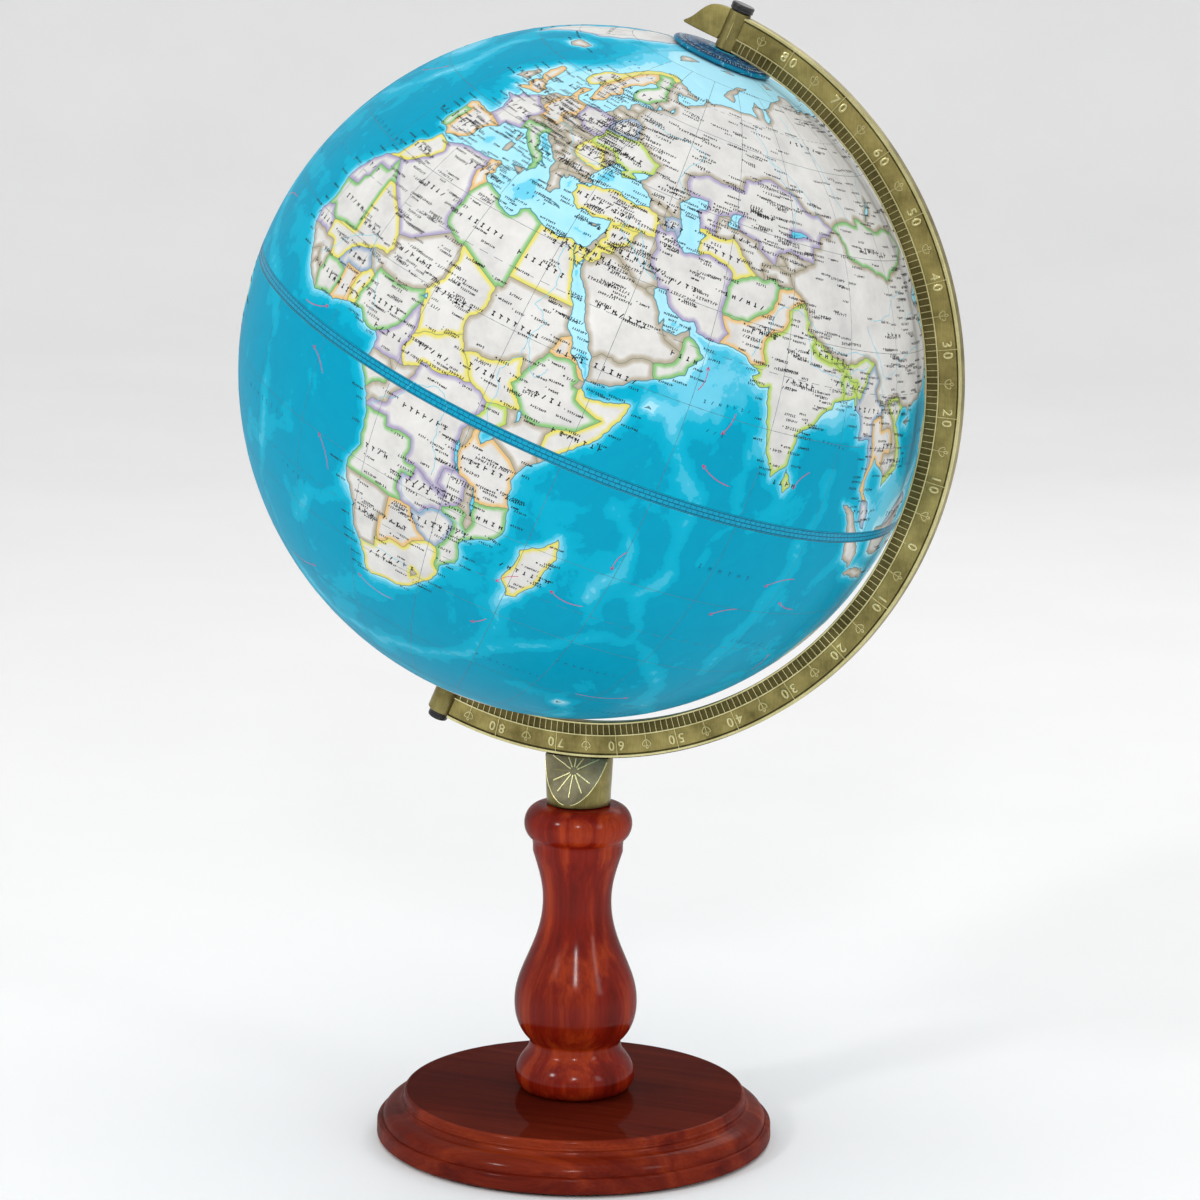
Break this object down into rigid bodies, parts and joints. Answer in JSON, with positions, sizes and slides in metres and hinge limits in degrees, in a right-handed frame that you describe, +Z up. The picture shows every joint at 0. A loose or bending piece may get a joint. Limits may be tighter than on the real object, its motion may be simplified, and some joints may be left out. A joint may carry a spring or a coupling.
{
  "type": "desktop globe on stand",
  "caption": "World globe on a tilted axis, held by a graduated half-ring brass meridian on a turned wooden column and round base; the ball and a small hour dial spin.",
  "frame": {"origin": "centre of the felt pad's underside, on the axis of the column", "axes": "+Z up along the column; the meridian lies in the XZ plane and bulges towards +X, and the north pole leans 23.5 degrees towards +X; -Y is the side that the graduations are read from in the picture"},
  "size_m": [0.3246, 0.3048, 0.5131],
  "materials": {
    "cherry_wood": "red-brown cherry lacquer, high gloss, darker on the base's flat top",
    "antique_brass": "antiqued: satin olive brass with bright rubbed edges and dark recesses",
    "steel": "plain bright steel",
    "black_plastic": "gloss black",
    "dial_plastic": "printed blue, gloss",
    "nylon": "natural nylon",
    "map_board": "printed map paper on board under a clear gloss coat",
    "tape": "printed paper tape under the same gloss coat",
    "plain_board": "bare grey-brown board",
    "felt": "dark green felt"
  },
  "bodies": {
    "stand": {"felt_pad": "felt", "base_disc": "cherry_wood", "column": "cherry_wood", "tie_rod": "steel", "tie_rod_washer": "steel", "tie_rod_nut": "steel", "arm_holder": "antique_brass", "tab_set_screw": "steel", "meridian_arm": "antique_brass", "top_pivot_pin": "steel", "top_pin_cap": "black_plastic", "bottom_pivot_pin": "steel", "bottom_pin_cap": "black_plastic", "thrust_washer": "nylon"},
    "globe": {"north_hemisphere": "map_board", "south_hemisphere": "map_board", "equator_tape": "tape", "joining_ring": "plain_board", "north_ferrule": "steel", "south_ferrule": "steel"},
    "hour_dial": {"hour_dial": "dial_plastic", "dial_washer": "nylon"}
  },
  "joints": [
    {"name": "globe_spin", "type": "hinge", "parent": "stand", "child": "globe", "pos_m": [0, 0, 0.3493], "axis": [0.3987, 0, 0.9171], "continuous": true},
    {"name": "hour_dial_turn", "type": "hinge", "parent": "stand", "child": "hour_dial", "pos_m": [0.06161, 0, 0.49099], "axis": [0.3987, 0, 0.9171], "continuous": true}
  ]
}
